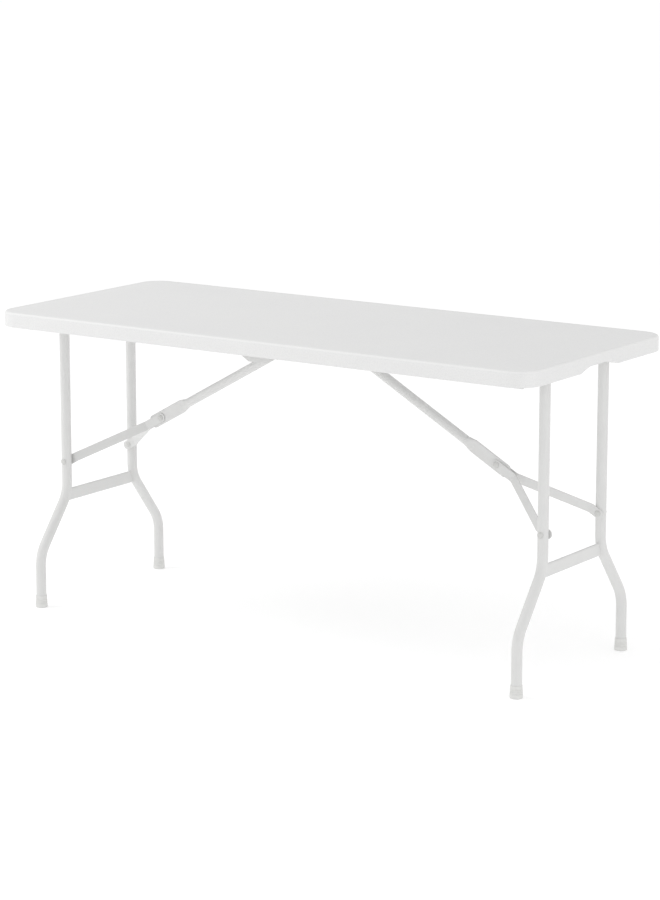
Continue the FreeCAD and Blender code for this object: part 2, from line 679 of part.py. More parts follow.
def build_arm(side_name, side, row_name, row):
    """A flat steel arm, bent twice, with round ends."""
    half = size("arm_thickness") / 2
    bend = size("arm_bend_radius")
    points = arm_points()
    inner = rounded_path(offset_points(points, half), [bend - half, bend + half])
    outer = rounded_path(offset_points(points, -half), [bend + half, bend - half])
    first = Part.LineSegment(outer[0].Vertexes[0].Point, inner[0].Vertexes[0].Point).toShape()
    last = Part.LineSegment(outer[-1].Vertexes[-1].Point, inner[-1].Vertexes[-1].Point).toShape()
    outline = Part.Wire(Part.__sortEdges__(inner + outer + [first, last]))
    wide = size("arm_width")
    strip = Part.Face(outline).extrude(V(0, 0, wide))
    strip.translate(V(0, 0, -wide / 2))
    start = points[0].x
    end = points[-1].x
    mask = Part.makeBox(end - start, 2 * ARM_FACE, wide, V(start, -ARM_FACE / 2, -wide / 2))
    ends = [e for e in mask.Edges if e.BoundBox.YLength > ARM_FACE]
    strip = strip.common(mask.makeFillet(wide / 2 - 0.05, ends))
    reach = size("rail_gap")
    holes = []
    for s in (size("link_length"), size("link_length") + ARM_LENGTH):
        radius = size("rivet_diameter") / 2 + size("fit_gap")
        holes.append(cylinder(radius, V(s, -reach, 0), V(s, reach, 0)))
    arm = strip.cut(holes)
    if row * side < 0:
        arm = arm.mirror(V(0, 0, 0), V(0, 1, 0))
    shape_piece("%s_%s_arm" % (side_name, row_name), largest(arm), brace_placement(side))


def build_hinge_rivet(side_name, side):
    """The rivet through both arms and the flat end of the link."""
    reach = size("flat_thickness") / 2 + size("slide_gap") + size("arm_thickness") + size("slide_gap")
    hinge = size("link_length")
    pin = rivet(size("rivet_diameter"), size("rivet_head_diameter"), size("rivet_head_height"),
                V(hinge, -reach, 0), V(hinge, reach, 0))
    shape_piece(side_name + "_hinge_rivet", pin, brace_placement(side))


def build_arm_rivets(side_name, side):
    """The inner ends of the leg rivets, headed over the arms."""
    end = size("link_length") + ARM_LENGTH
    face = ARM_FACE - size("arm_thickness")
    rivets = []
    for row in ROWS.values():
        rivets.append(rivet(size("rivet_diameter"), size("rivet_head_diameter"), size("rivet_head_height"),
                            V(end, row * ARM_FACE, 0), V(end, row * face, 0), heads=1))
    shape_piece(side_name + "_arm_rivets", Part.makeCompound(rivets), brace_placement(side))


# ---------------------------------------------------------------------------------------------
def build_all():
    build_tabletop()
    for row_name, row in ROWS.items():
        build_rail(row_name, row)
        build_plate(row_name, row)
    build_plate_rivets()
    build_rail_screws()
    plate_outer = RAIL_OUTER + size("plate_thickness")
    for side_name, side in SIDES.items():
        build_pivot_tube(side_name, side)
        end_plugs(side_name + "_pivot_plugs", side * LEG_X, PIVOT_Z, TUBE_INNER, TUBE_RADIUS,
                  size("plug_spigot"), RAIL_OUTER + 3)
        for row_name, row in ROWS.items():
            build_leg(side_name, side, row_name, row)
            build_foot(side_name, side, row_name, row)
        build_knee_bar(side_name, side)
        build_leg_rivets(side_name, side)
        build_crossbar(side_name, side)
        end_plugs(side_name + "_crossbar_plugs", side * size("crossbar_offset"), CROSSBAR_Z,
                  CROSSBAR_INNER, CROSSBAR_RADIUS, size("crossbar_spigot"), plate_outer + 2)
        build_link(side_name, side)
        for row_name, row in ROWS.items():
            build_arm(side_name, side, row_name, row)
        build_hinge_rivet(side_name, side)
        build_arm_rivets(side_name, side)


def write_parts():
    doc.recompute()
    for thing in doc.Objects:
        if "Invalid" in thing.State or "Error" in thing.State:
            raise RuntimeError("failed object: " + thing.Label)
    os.makedirs("parts", exist_ok=True)
    for thing in PIECES:
        if thing.Shape.isNull() or not thing.Shape.isValid():
            raise RuntimeError("bad shape: " + thing.Label)
        thing.Shape.exportStep("parts/%s.step" % thing.Label)
        print("%-24s solids %2d volume %.1f" % (thing.Label, len(thing.Shape.Solids), thing.Shape.Volume))


build_all()
write_parts()
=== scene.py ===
# %% [markdown]
# # A folding utility table
# A long white table: one moulded polyethylene top, two leg frames bent from round steel tube, and
# a hinged Y brace at each end. The measured frame comes from the CAD model, so every piece is
# already at its real size and place, and this script is about how the table looks.

# %% Load the measured frame
import math

import bmesh
import bpy
from mathutils import Matrix, Vector


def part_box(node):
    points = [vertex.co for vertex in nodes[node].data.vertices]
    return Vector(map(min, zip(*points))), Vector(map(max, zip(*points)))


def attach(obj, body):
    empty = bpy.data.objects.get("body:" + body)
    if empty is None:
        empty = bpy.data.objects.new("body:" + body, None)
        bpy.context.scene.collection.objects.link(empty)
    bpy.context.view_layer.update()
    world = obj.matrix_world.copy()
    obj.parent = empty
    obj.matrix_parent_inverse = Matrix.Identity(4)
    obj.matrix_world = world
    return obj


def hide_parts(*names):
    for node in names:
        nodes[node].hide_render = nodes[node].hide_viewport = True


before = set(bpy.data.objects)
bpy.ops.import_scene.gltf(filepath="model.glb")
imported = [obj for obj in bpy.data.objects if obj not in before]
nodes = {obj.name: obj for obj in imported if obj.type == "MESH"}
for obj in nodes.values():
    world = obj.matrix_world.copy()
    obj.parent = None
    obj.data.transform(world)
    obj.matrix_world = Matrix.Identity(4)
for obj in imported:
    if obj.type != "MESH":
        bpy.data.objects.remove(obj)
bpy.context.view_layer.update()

# %% [markdown]
# ## Colours and shader nodes
# Paint and plastic colours are written as the hex values that a colour picker shows. Blender
# works in linear light, so one function converts them. A second small function adds a shader
# node with its settings and its links, which keeps each material readable as a list of layers.

# %% Helpers for materials
MM = 0.001
HAIR, CUT_GAP, MERGE_GAP = 0.1 * MM, 0.01 * MM, 0.005 * MM


def hex_colour(text):
    """An sRGB hex colour as linear red, green, blue and alpha."""
    channels = [int(text[i:i + 2], 16) / 255 for i in (1, 3, 5)]
    linear = [c / 12.92 if c <= 0.04045 else ((c + 0.055) / 1.055) ** 2.4 for c in channels]
    return (*linear, 1.0)


def add_node(owner, kind, links=None, **settings):
    """One shader node of a material or world. Settings go on its properties or sockets, and
    links gives the output that feeds each named socket."""
    node = owner.node_tree.nodes.new(kind)
    for name, value in settings.items():
        if hasattr(node, name):
            setattr(node, name, value)
        else:
            node.inputs[name.replace("_", " ")].default_value = value
    for socket, source in (links or {}).items():
        owner.node_tree.links.new(source, node.inputs[socket])
    return node


def new_material(name):
    """An empty node material with its Principled shader."""
    material = bpy.data.materials.new(name)
    material.use_nodes = True
    shader = material.node_tree.nodes["Principled BSDF"]
    return material, shader


def link(owner, source, target):
    owner.node_tree.links.new(source, target)


print("helpers ready")

# %% [markdown]
# ## Moulded polyethylene top
# The top is blow-moulded high-density polyethylene: white, with a pebble grain that the mould
# leaves so that the surface hides scratches. The grain is a bump made from a Voronoi pattern,
# broken up by finer noise. The real pebbles are about 1.5 mm across, and they are drawn at 2.2 mm,
# because finer ones are lost at this size of picture. The hollows between the pebbles get painted
# shade: a slightly darker white. Faces that lean between level and upright, as on the rounded
# upper edge, get a painted highlight: a whiter colour, where the height part n of the surface
# normal makes n times one less n, which is zero on level and upright faces and largest halfway.
# Slow noise shifts the roughness and the white by a hair, because a big moulded sheet never cools
# evenly.

# %% Plastic of the top
GRAIN, GRIT = 2.2 * MM, 1.2 * MM


def moulded_polyethylene():
    material, shader = new_material("moulded_polyethylene")
    place = add_node(material, "ShaderNodeTexCoord")
    pebbles = add_node(material, "ShaderNodeTexVoronoi", {"Vector": place.outputs["Object"]},
                       feature="SMOOTH_F1", Scale=1 / GRAIN, Smoothness=0.7)
    grit = add_node(material, "ShaderNodeTexNoise", {"Vector": place.outputs["Object"]},
                    Scale=1 / GRIT, Detail=2.0)
    height = add_node(material, "ShaderNodeMath",
                      {0: pebbles.outputs["Distance"], 1: grit.outputs[0]},
                      operation="MULTIPLY_ADD")
    height.inputs[2].default_value = 0.0
    bump = add_node(material, "ShaderNodeBump", {"Height": height.outputs[0]},
                    Strength=0.45, Distance=0.4 * MM)
    link(material, bump.outputs["Normal"], shader.inputs["Normal"])
    drift = add_node(material, "ShaderNodeTexNoise", {"Vector": place.outputs["Object"]},
                     Scale=6.0, Detail=3.0)
    tint = add_node(material, "ShaderNodeMix", {"Factor": drift.outputs[0]}, data_type="RGBA")
    tint.inputs["A"].default_value = hex_colour("#e3e3e3")
    tint.inputs["B"].default_value = hex_colour("#e9e9e8")
    # Painted shade: the hollows of the pebble grain are mixed towards a darker white.
    painted_valley_shade = add_node(material, "ShaderNodeMapRange", {"Value": height.outputs[0]})
    painted_valley_shade.inputs["From Min"].default_value = 0.05
    painted_valley_shade.inputs["From Max"].default_value = 0.38
    painted_valley_shade.inputs["To Max"].default_value = 0.5
    shade = add_node(material, "ShaderNodeMix",
                     {"Factor": painted_valley_shade.outputs[0], "A": tint.outputs["Result"]}, data_type="RGBA")
    shade.inputs["B"].default_value = hex_colour("#d8d8d8")
    # Painted highlight: faces that lean between level and upright, as on the rounded upper edge,
    # are mixed towards a whiter colour.
    facing = add_node(material, "ShaderNodeSeparateXYZ", {0: place.outputs["Normal"]})
    one_less = add_node(material, "ShaderNodeMath", {1: facing.outputs["Z"]}, operation="SUBTRACT")
    one_less.inputs[0].default_value = 1.0
    lean = add_node(material, "ShaderNodeMath", {0: facing.outputs["Z"], 1: one_less.outputs[0]},
                    operation="MULTIPLY")
    painted_edge_highlight = add_node(material, "ShaderNodeMapRange", {"Value": lean.outputs[0]})
    painted_edge_highlight.inputs["From Min"].default_value = 0.03
    painted_edge_highlight.inputs["From Max"].default_value = 0.25
    painted_edge_highlight.inputs["To Max"].default_value = 0.5
    edge = add_node(material, "ShaderNodeMix",
                    {"Factor": painted_edge_highlight.outputs[0], "A": shade.outputs["Result"]}, data_type="RGBA")
    edge.inputs["B"].default_value = hex_colour("#eeeeed")
    link(material, edge.outputs["Result"], shader.inputs["Base Color"])
    rough = add_node(material, "ShaderNodeMapRange", {"Value": drift.outputs[0]})
    rough.inputs["To Min"].default_value = 0.42
    rough.inputs["To Max"].default_value = 0.52
    link(material, rough.outputs[0], shader.inputs["Roughness"])
    shader.inputs["IOR"].default_value = 1.53
    return material


TOP_PLASTIC = moulded_polyethylene()
print("made", TOP_PLASTIC.name)

# %% [markdown]
# ## Powder-coated steel
# The tubes and straps are mild steel under a baked polyester powder. The powder flows as it
# bakes but not quite flat, which leaves a soft orange-peel ripple two or three millimetres wide
# and a satin shine.

# %% Coating of the steel
PEEL = 3.0 * MM


def powder_coated_steel(name, light, dark):
    material, shader = new_material(name)
    place = add_node(material, "ShaderNodeTexCoord")
    peel = add_node(material, "ShaderNodeTexNoise", {"Vector": place.outputs["Object"]},
                    Scale=1 / PEEL, Detail=1.5)
    bump = add_node(material, "ShaderNodeBump", {"Height": peel.outputs[0]},
                    Strength=0.12, Distance=0.2 * MM)
    link(material, bump.outputs["Normal"], shader.inputs["Normal"])
    drift = add_node(material, "ShaderNodeTexNoise", {"Vector": place.outputs["Object"]},
                     Scale=18.0, Detail=4.0)
    tint = add_node(material, "ShaderNodeMix", {"Factor": drift.outputs[0]}, data_type="RGBA")
    tint.inputs["A"].default_value = hex_colour(dark)
    tint.inputs["B"].default_value = hex_colour(light)
    link(material, tint.outputs["Result"], shader.inputs["Base Color"])
    rough = add_node(material, "ShaderNodeMapRange", {"Value": drift.outputs[0]})
    rough.inputs["To Min"].default_value = 0.30
    rough.inputs["To Max"].default_value = 0.42
    link(material, rough.outputs[0], shader.inputs["Roughness"])
    shader.inputs["IOR"].default_value = 1.5
    return material


COATED_STEEL = powder_coated_steel("powder_coated_steel", "#dcdcdb", "#d5d5d4")
print("made", COATED_STEEL.name)

# %% [markdown]
# ## Foot caps, plugs, rivets and screws
# The foot caps and the plugs in the open tube ends are small injection mouldings. The caps are
# soft polyethylene with a matt spark-eroded skin, and the plugs are nylon, a little yellower and
# shinier. A real spark-eroded skin is finer than half a millimetre, and it is drawn at 1.5 mm,
# because a finer one is lost at this size of picture. The rivets are coated with the frame, but
# the hammer and the moving joint scuff them, so their paint is duller and thinner in patches.
# The screws are zinc plated: a bright metal, a little cloudy where the plating is uneven.

# %% Plastic of the small mouldings
SPARK = 1.5 * MM


def moulded_plastic(name, light, dark, shine):
    material, shader = new_material(name)
    place = add_node(material, "ShaderNodeTexCoord")
    skin = add_node(material, "ShaderNodeTexNoise", {"Vector": place.outputs["Object"]},
                    Scale=1 / SPARK, Detail=3.0, Roughness=0.6)
    bump = add_node(material, "ShaderNodeBump", {"Height": skin.outputs[0]},
                    Strength=0.3, Distance=0.1 * MM)
    link(material, bump.outputs["Normal"], shader.inputs["Normal"])
    tint = add_node(material, "ShaderNodeMix", {"Factor": skin.outputs[0]}, data_type="RGBA")
    tint.inputs["A"].default_value = hex_colour(dark)
    tint.inputs["B"].default_value = hex_colour(light)
    link(material, tint.outputs["Result"], shader.inputs["Base Color"])
    rough = add_node(material, "ShaderNodeMapRange", {"Value": skin.outputs[0]})
    rough.inputs["To Min"].default_value = shine
    rough.inputs["To Max"].default_value = shine + 0.12
    link(material, rough.outputs[0], shader.inputs["Roughness"])
    shader.inputs["IOR"].default_value = 1.52
    return material


FOOT_PLASTIC = moulded_plastic("injection_moulded_polyethylene", "#e0e0de", "#d6d6d4", 0.5)
PLUG_NYLON = moulded_plastic("injection_moulded_nylon", "#e6e5df", "#dad9d2", 0.36)
print("made", FOOT_PLASTIC.name, PLUG_NYLON.name)

# %% Scuffed coating of the rivets
SCUFF = 4.0 * MM


def scuffed_coating():
    material, shader = new_material("scuffed_powder_coating")
    place = add_node(material, "ShaderNodeTexCoord")
    scuffs = add_node(material, "ShaderNodeTexNoise", {"Vector": place.outputs["Object"]},
                      Scale=1 / SCUFF, Detail=5.0, Roughness=0.7)
    worn = add_node(material, "ShaderNodeMapRange", {"Value": scuffs.outputs[0]})
    worn.inputs["From Min"].default_value = 0.52
    worn.inputs["From Max"].default_value = 0.62
    tint = add_node(material, "ShaderNodeMix", {"Factor": worn.outputs[0]}, data_type="RGBA")
    tint.inputs["A"].default_value = hex_colour("#cfcfcd")
    tint.inputs["B"].default_value = hex_colour("#c2c2c0")
    link(material, tint.outputs["Result"], shader.inputs["Base Color"])
    bump = add_node(material, "ShaderNodeBump", {"Height": scuffs.outputs[0]},
                    Strength=0.25, Distance=0.15 * MM)
    link(material, bump.outputs["Normal"], shader.inputs["Normal"])
    rough = add_node(material, "ShaderNodeMapRange", {"Value": scuffs.outputs[0]})
    rough.inputs["To Min"].default_value = 0.31
    rough.inputs["To Max"].default_value = 0.6
    link(material, rough.outputs[0], shader.inputs["Roughness"])
    return material


RIVET_COATING = scuffed_coating()
print("made", RIVET_COATING.name)

# %% Zinc plate of the screws
CLOUD = 1.2 * MM


def zinc_plate():
    material, shader = new_material("zinc_plated_steel")
    place = add_node(material, "ShaderNodeTexCoord")
    clouds = add_node(material, "ShaderNodeTexNoise", {"Vector": place.outputs["Object"]},
                      Scale=1 / CLOUD, Detail=3.0)
    tint = add_node(material, "ShaderNodeMix", {"Factor": clouds.outputs[0]}, data_type="RGBA")
    tint.inputs["A"].default_value = hex_colour("#a9adb0")
    tint.inputs["B"].default_value = hex_colour("#c9cccd")
    link(material, tint.outputs["Result"], shader.inputs["Base Color"])
    rough = add_node(material, "ShaderNodeMapRange", {"Value": clouds.outputs[0]})
    rough.inputs["To Min"].default_value = 0.24
    rough.inputs["To Max"].default_value = 0.42
    link(material, rough.outputs[0], shader.inputs["Roughness"])
    shader.inputs["Metallic"].default_value = 1.0
    return material


ZINC_PLATE = zinc_plate()
print("made", ZINC_PLATE.name)

# %% Give the CAD nodes their finishes
def finish_of(name):
    if name == "tabletop":
        return TOP_PLASTIC
    if name.endswith("_screws"):
        return ZINC_PLATE
    if name.endswith(("_rivets", "_rivet")):
        return RIVET_COATING
    if name.endswith("_plugs"):
        return PLUG_NYLON
    if name.endswith("_foot"):
        return FOOT_PLASTIC
    return COATED_STEEL


for name, thing in nodes.items():
    thing.data.materials.clear()
    thing.data.materials.append(finish_of(name))
print("finished", len(nodes), "nodes")

# %% [markdown]
# ## From a bmesh to a piece
# Every new piece is shaped in a bmesh and then takes the same last steps: doubles merged, normals
# turned outwards, smooth shading with creases kept sharp, a finish, and a body to ride on. The
# Weighted Normal modifier lets the large flat faces set the shading, so that a rounded edge does
# not make a flat panel look bent.

# %% Helper that finishes a piece
SHARP = math.radians(38)


def make_piece(name, shape, material, body, stands_for=()):
    bmesh.ops.remove_doubles(shape, verts=shape.verts, dist=MERGE_GAP)
    bmesh.ops.recalc_face_normals(shape, faces=shape.faces)
    mesh = bpy.data.meshes.new(name)
    shape.to_mesh(mesh)
    shape.free()
    for face in mesh.polygons:
        face.use_smooth = True
    mesh.set_sharp_from_angle(angle=SHARP)
    mesh.materials.append(material)
    piece = bpy.data.objects.new(name, mesh)
    bpy.context.scene.collection.objects.link(piece)
    evened = piece.modifiers.new("even shading", "WEIGHTED_NORMAL")
    evened.keep_sharp = True
    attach(piece, body)
    if stands_for:
        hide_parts(*stands_for)
    return piece


print("piece helper ready")

# %% [markdown]
# ## The blow-moulded top
# The real top is one hollow moulding: a thick tube of hot plastic is blown against a mould, which
# gives soft outer corners, a rounded upper edge, a skirt that hangs down all round, and a ceiling
# under the middle. Where the upper and lower skins would flap, the mould pinches them together in
# rows of small pockets, and those are what one sees from below. A box shaped with bevel, inset
# and extrude follows the same order as the mould maker. Each end skirt has a low arched notch, a
# hand grip, made by lifting its lower edge between cuts.

# %% Helper that rounds edges
def round_edges(shape, edges, offset, segments):
    bmesh.ops.bevel(shape, geom=edges, offset=offset, offset_type="OFFSET", affect="EDGES",
                    segments=segments, profile=0.5, material=-1)


print("rounding helper ready")

# %% Outer shape with its rounded corners and upper edge
CORNER, UPPER_ROUND, LOWER_ROUND = 57 * MM, 6 * MM, 2 * MM
SKIRT, CEILING = 30 * MM, 22 * MM
NOTCH_WIDE, NOTCH_FLAT, NOTCH_RISE = 84 * MM, 42 * MM, 12 * MM
CUT_BAND, LIFT_BAND = 4 * MM, 3 * MM


def outer_box(low, high):
    shape = bmesh.new()
    bmesh.ops.create_cube(shape, size=1.0)
    bmesh.ops.scale(shape, vec=high - low, verts=shape.verts)
    bmesh.ops.translate(shape, vec=(low + high) / 2, verts=shape.verts)
    upright = [e for e in shape.edges if abs(e.verts[0].co.z - e.verts[1].co.z) > 1 * MM]
    round_edges(shape, upright, CORNER, 14)
    rim = [e for e in shape.edges if all(v.co.z > high.z - HAIR for v in e.verts)]
    round_edges(shape, rim, UPPER_ROUND, 5)
    return shape


top_low, top_high = (Vector(corner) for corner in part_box("tabletop"))
top_shape = outer_box(top_low, top_high)
print("outer box", len(top_shape.faces), "faces, height", round(top_high.z - top_low.z, 4))

# %% Recess, skirt and grip notches
def lowest_face(shape):
    facing_down = (f for f in shape.faces if f.normal.z < -0.9)
    return min(facing_down, key=lambda f: f.calc_center_median().z)


def hollow_and_notch(shape, low, high):
    lowest = lowest_face(shape)
    bmesh.ops.inset_region(shape, faces=[lowest], thickness=SKIRT, use_even_offset=True)
    raised = bmesh.ops.extrude_discrete_faces(shape, faces=[lowest])["faces"]
    bmesh.ops.translate(shape, vec=(0, 0, high.z - CEILING - low.z), verts=raised[0].verts)
    lower_edges = [e for e in shape.edges if all(v.co.z < low.z + HAIR for v in e.verts)
                   and any(abs(f.normal.z) < 0.5 for f in e.link_faces)]
    round_edges(shape, lower_edges, LOWER_ROUND, 3)
    for y in (-NOTCH_WIDE, -NOTCH_FLAT, NOTCH_FLAT, NOTCH_WIDE):
        ends = [f for f in shape.faces if f.calc_center_median().z < high.z - UPPER_ROUND
                and abs(f.calc_center_median().x) > high.x - SKIRT - CUT_BAND]
        parts = {v for f in ends for v in f.verts} | {e for f in ends for e in f.edges}
        bmesh.ops.bisect_plane(shape, geom=list(parts) + ends, dist=CUT_GAP,
                               plane_co=(0, y, 0), plane_no=(0, 1, 0))
    for vert in shape.verts:
        share = (NOTCH_WIDE - abs(vert.co.y)) / (NOTCH_WIDE - NOTCH_FLAT)
        in_end_skirt = abs(vert.co.x) > high.x - SKIRT - LIFT_BAND
        if vert.co.z < low.z + LIFT_BAND and in_end_skirt and share > 0:
            vert.co.z += NOTCH_RISE * min(1.0, share)


hollow_and_notch(top_shape, top_low, top_high)
print("skirt and notches", len(top_shape.faces), "faces")

# %% Pinched pockets in the ceiling
POCKET_PITCH, POCKET_DEEP, POCKET_REACH = 62 * MM, 13 * MM, (650 * MM, 236 * MM)
POCKET_RIM, POCKET_SLOPE, POCKET_CORNER, SMALLEST_CELL = 13 * MM, 6 * MM, 5 * MM, 30 * MM


def ceiling_faces(shape, ceiling_z):
    return [f for f in shape.faces if f.normal.z < -0.9
            and abs(f.calc_center_median().z - ceiling_z) < 0.5 * MM]


def pinch_pockets(shape, high):
    ceiling_z = high.z - CEILING
    ceiling = ceiling_faces(shape, ceiling_z)
    for axis in (0, 1):
        count = round(POCKET_REACH[axis] / POCKET_PITCH)
        step = POCKET_REACH[axis] / count
        for turn in range(-count, count + 1):
            spot, way = Vector(), Vector()
            spot[axis], way[axis] = turn * step, 1
            around = {v for f in ceiling for v in f.verts} | {e for f in ceiling for e in f.edges}
            bmesh.ops.bisect_plane(shape, geom=list(around) + ceiling, dist=CUT_GAP,
                                   plane_co=spot, plane_no=way)
            ceiling = ceiling_faces(shape, ceiling_z)
    cells = [f for f in ceiling if abs(f.calc_center_median().x) < POCKET_REACH[0]
             and abs(f.calc_center_median().y) < POCKET_REACH[1]
             and f.calc_area() > SMALLEST_CELL ** 2]
    bmesh.ops.inset_individual(shape, faces=cells, thickness=POCKET_RIM, use_even_offset=True)
    bmesh.ops.inset_individual(shape, faces=cells, thickness=POCKET_SLOPE, use_even_offset=True)
    for cell in cells:
        bmesh.ops.translate(shape, vec=(0, 0, POCKET_DEEP), verts=cell.verts)
    slopes = [e for e in shape.edges
              if abs(abs(e.verts[0].co.z - e.verts[1].co.z) - POCKET_DEEP) < HAIR
              and min(v.co.z for v in e.verts) > ceiling_z - HAIR]
    round_edges(shape, slopes, POCKET_CORNER, 3)
    return len(cells)


print("pockets", pinch_pockets(top_shape, top_high), "faces", len(top_shape.faces))

# %% Finish the top
top_piece = make_piece("moulded_top", top_shape, TOP_PLASTIC, "top", ["tabletop"])
print("made", top_piece.name)

# %% [markdown]
# ## Foot caps
# Each leg ends in a pushed-on cap: a cup with a slight taper, three grip grooves, a rolled upper
# lip and a dished sole so that only its rim touches the ground. It is round, so half its section
# is drawn as a line and spun about the leg. The section is written in millimetres, outwards from
# the leg's axis and upwards from the ground.

# %% Spin a foot cap
GROOVES, GROOVE_DEEP, TAPER, TAPER_START = (10, 15, 20), 0.9, 0.052, 6
BORE, SOLE_THICK, DISH, LIP_START = 12.55, 6.0, 1.2, 27.8


def foot_cap(name):
    low, high = (Vector(corner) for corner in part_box(name))
    wide = (high.x - low.x) / 2
    tall = high.z - low.z
    section = [(0, DISH), (8.0, DISH), (9.0, 0), (wide / MM - 1.5, 0), (wide / MM - 0.4, 0.5),
               (wide / MM, 1.6), (wide / MM, 7.0)]
    for height in GROOVES:
        side = wide / MM - (height - TAPER_START) * TAPER
        section += [(side, height), (side - GROOVE_DEEP, height + 0.5),
                    (side - GROOVE_DEEP, height + 1.7), (side - 0.1, height + 2.2)]
    section += [(13.85, LIP_START), (13.7, tall / MM - 0.4), (13.3, tall / MM),
                (BORE, tall / MM), (BORE, SOLE_THICK), (0, SOLE_THICK)]
    middle = Vector(((low.x + high.x) / 2, (low.y + high.y) / 2, low.z))
    shape = bmesh.new()
    points = [shape.verts.new(middle + Vector((r * MM, 0, z * MM))) for r, z in section]
    lines = [shape.edges.new(pair) for pair in zip(points, points[1:])]
    bmesh.ops.spin(shape, geom=points + lines, cent=middle, axis=(0, 0, 1), angle=2 * math.pi,
                   steps=48, use_merge=True)
    body = name.split("_")[0] + "_leg_frame"
    return make_piece(name + "_cap", shape, FOOT_PLASTIC, body, [name])


for side in ("left", "right"):
    for row in ("front", "back"):
        print("spun", foot_cap(f"{side}_{row}_foot").name)

# %% [markdown]
# ## Weld beads
# The frame is welded before it is coated, so every joint of tube to tube has a small rippled bead
# under the paint. A bead is a thin round section spun into a ring and then bent to the saddle
# where two round tubes meet: across a tube of radius r, a point at distance x from its axis lies
# at the square root of r squared less x squared.

# %% Ring of weld between two tubes
BEAD, RIPPLES, RIPPLE_LOW, RIPPLE_HIGH = 2.1 * MM, 18, 0.86, 0.2
FLANK_LOW, FLANK_HIGH = 0.15, 0.85


def spun_ring(radius, thick, steps=72):
    shape = bmesh.new()
    start = bmesh.ops.create_circle(shape, segments=8, radius=thick)["verts"]
    bmesh.ops.rotate(shape, verts=start, cent=(0, 0, 0),
                     matrix=Matrix.Rotation(math.pi / 2, 3, "X"))
    bmesh.ops.translate(shape, verts=start, vec=(radius, 0, 0))
    bmesh.ops.spin(shape, geom=shape.verts[:] + shape.edges[:], cent=(0, 0, 0), axis=(0, 0, 1),
                   angle=2 * math.pi, steps=steps, use_merge=True)
    return shape


def saddle_weld(name, foot, along, across, radius, body):
    """A bead where a tube that leaves foot along one way meets an equal tube lying across it.
    It is thin at the flanks, because the frame turns close under the ceiling of the top."""
    shape = spun_ring(radius, BEAD)
    for vert in shape.verts:
        turn = math.atan2(vert.co.y, vert.co.x)
        heart = Vector((radius * math.cos(turn), radius * math.sin(turn), 0))
        swell = RIPPLE_LOW + RIPPLE_HIGH * abs(math.sin(turn * RIPPLES / 2))
        swell *= FLANK_LOW + FLANK_HIGH * abs(math.sin(turn))
        vert.co = heart + (vert.co - heart) * swell
        vert.co.z += math.sqrt(max(0.0, radius ** 2 - heart.x ** 2))
    z_way, y_way = Vector(along).normalized(), Vector(across).normalized()
    x_way = y_way.cross(z_way)
    turned = Matrix((x_way, y_way, z_way)).transposed().to_4x4()
    bmesh.ops.transform(shape, matrix=Matrix.Translation(foot) @ turned, verts=shape.verts)
    make_piece(name, shape, COATED_STEEL, body)


LEG_X, PIVOT_Z, LEG_Y, TUBE_RADIUS = 686 * MM, 715 * MM, 131 * MM, 12.5 * MM
for side, way in (("left", -1), ("right", 1)):
    for row, turn in (("front", -1), ("back", 1)):
        saddle_weld(f"{side}_{row}_leg_weld", Vector((way * LEG_X, turn * LEG_Y, PIVOT_Z)),
                    (0, 0, -1), (0, 1, 0), TUBE_RADIUS, side + "_leg_frame")
print("leg welds laid")

# %% Welds of the brace link on its crossbar
CROSSBAR_X, LINK_RADIUS, LEG_RIVET_Z = 35 * MM, 11 * MM, 352 * MM
for side, way in (("left", -1), ("right", 1)):
    top_of_link = Vector((way * CROSSBAR_X, 0, PIVOT_Z))
    down_link = Vector((way * LEG_X, 0, LEG_RIVET_Z)) - top_of_link
    saddle_weld(side + "_link_weld", top_of_link, down_link, (0, 1, 0), LINK_RADIUS, side + "_link")
print("link welds laid")

# %% [markdown]
# The knee bar is a flattened tube that stands on edge between the two legs of a frame. Its bead
# runs round a tall narrow section, and the leg already curves away there, so the bead leans with
# it. The ring is stretched to that section with a rounded-box curve.

# %% Welds of the knee bar
KNEE_Z, KNEE_TALL, KNEE_THICK = 266 * MM, 31 * MM, 7 * MM
BEND_START, BEND_RADIUS = 300 * MM, 86 * MM
KNEE_BEAD, SIDE_SEAT, EDGE_SEAT, BOX_POWER = 1.5 * MM, 0.4 * MM, 0.2 * MM, 0.4


def boxed(value):
    """The sine or cosine of a turn, pushed out towards the sides of a box."""
    return math.copysign(abs(value) ** BOX_POWER, value)


def knee_weld(name, way, turn, body):
    shape = spun_ring(1.0, KNEE_BEAD, steps=96)
    for vert in shape.verts:
        angle = math.atan2(vert.co.y, vert.co.x)
        outward = vert.co - Vector((math.cos(angle), math.sin(angle), 0))
        x = (KNEE_THICK / 2 + SIDE_SEAT) * boxed(math.cos(angle))
        z = KNEE_Z + (KNEE_TALL / 2 + EDGE_SEAT) * boxed(math.sin(angle))
        lean = max(0.0, BEND_START - z) ** 2 / (2 * BEND_RADIUS)
        flank = TUBE_RADIUS - math.sqrt(TUBE_RADIUS ** 2 - x ** 2)
        y = LEG_Y - TUBE_RADIUS + lean + flank
        vert.co = Vector((way * LEG_X + x + outward.x, turn * (y - outward.z), z + outward.y))
    make_piece(name, shape, COATED_STEEL, body)


for side, way in (("left", -1), ("right", 1)):
    for row, turn in (("front", -1), ("back", 1)):
        knee_weld(f"{side}_{row}_knee_weld", way, turn, side + "_leg_frame")
print("knee welds laid")

# %% [markdown]
# ## Studio
# A catalogue picture of a white table stands on seamless white paper: there is no horizon and
# almost no shadow. The paper scatters light as real paper does, and it also glows a little, as
# paper lit from behind does, so it goes to white and fills the underside of the table. Its faint
# unevenness is drawn at 4 mm, much coarser than real paper fibres. The world is a bright dome:
# full white just above the paper, so that no horizon shows, lower at the sides and brighter
# overhead. A panel stands beyond each end, so the outer flank of each round tube is the lighter
# one, and a third hangs high at the front left, where the rounded edge of the top mirrors it as
# a fine bright line.

# %% Floor
FIBRE, FLOOR_SIZE, FLOOR_GLOW = 4 * MM, 60, 0.31


